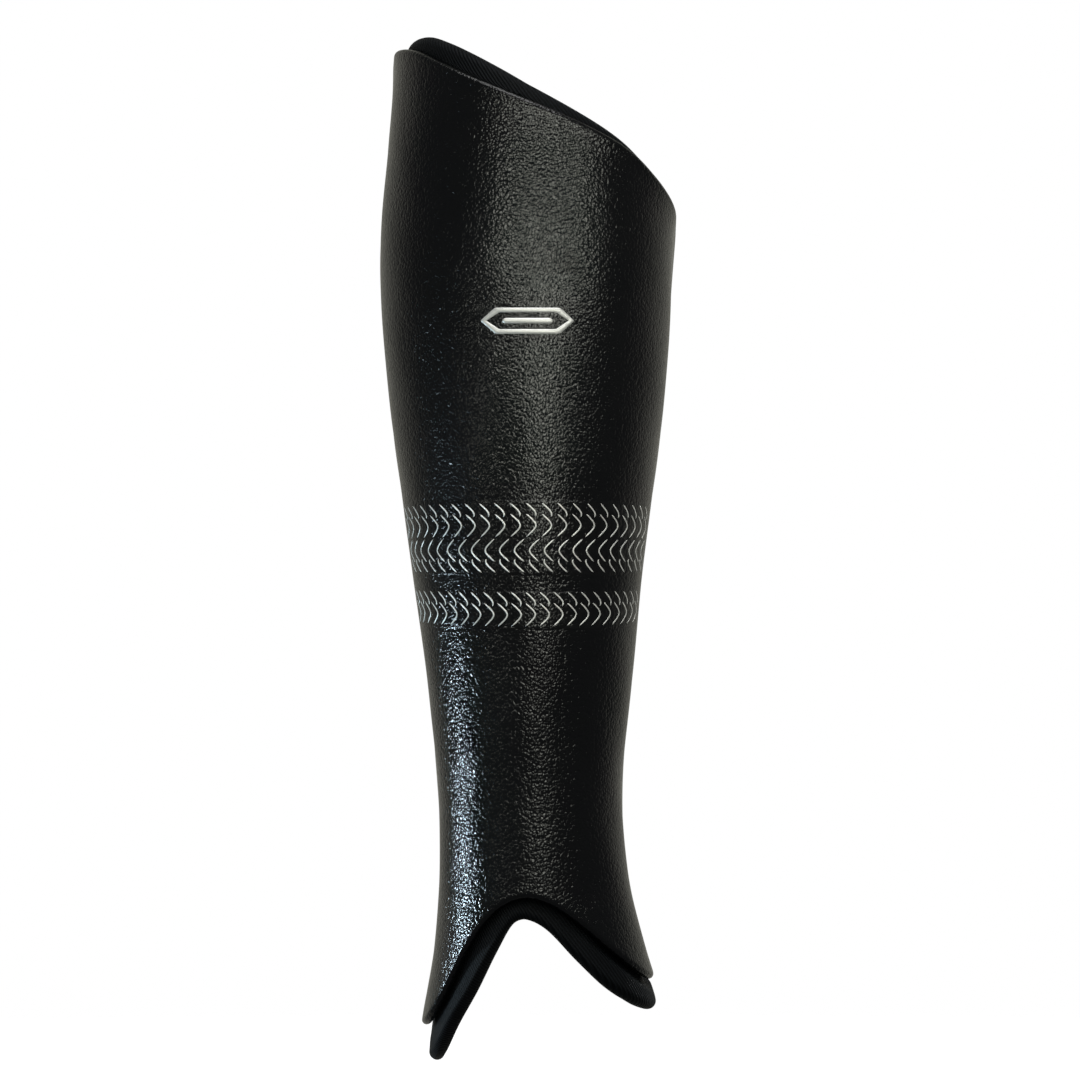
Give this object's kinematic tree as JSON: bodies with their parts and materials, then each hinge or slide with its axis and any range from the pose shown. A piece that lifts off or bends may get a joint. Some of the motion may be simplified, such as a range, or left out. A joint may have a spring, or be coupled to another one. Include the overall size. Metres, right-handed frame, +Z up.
{
  "type": "shin guard",
  "caption": "Field hockey shin guard: one-piece moulded shell with a grained skin and chevron bands, and a padded fabric liner held in by hook tape.",
  "frame": {"origin": "on the axis of the leg, half way up the guard", "axes": "+Z up the leg towards the knee, -Y out of the front of the shin, +Y out of the open back, +X to the right when facing the front"},
  "size_m": [0.1076, 0.0809, 0.3701],
  "materials": {
    "grained_skin": "black synthetic leather, fine pebble grain, satin",
    "moulded_plate": "moulded, matt",
    "pale_print": "pale grey transfer print",
    "band_film": "satin film with fine pale grey chevrons",
    "hook_tape": "woven hook tape",
    "liner_back": "brushed loop fabric with a fine diagonal rib",
    "liner_face": "knitted lining, matt",
    "foam": "closed-cell foam sheet",
    "thread": "bonded sewing thread"
  },
  "bodies": {
    "shell": {"outer_skin": "grained_skin", "hard_plate": "moulded_plate", "emblem_print": "pale_print", "upper_band_print": "band_film", "lower_band_print": "band_film", "hook_patch_upper_left": "hook_tape", "hook_patch_upper_right": "hook_tape", "hook_patch_middle_left": "hook_tape", "hook_patch_middle_right": "hook_tape", "hook_patch_lower_left": "hook_tape", "hook_patch_lower_right": "hook_tape"},
    "liner": {"liner_back_fabric": "liner_back", "liner_face_fabric": "liner_face", "foam_pad_centre": "foam", "foam_pad_left": "foam", "foam_pad_right": "foam", "liner_seam_thread": "thread", "channel_thread_left": "thread", "channel_thread_right": "thread"}
  },
  "joints": [
    {"name": "liner_pull", "type": "slide", "parent": "shell", "child": "liner", "axis": [0, 1, 0], "range_m": [0, 0.095]}
  ]
}
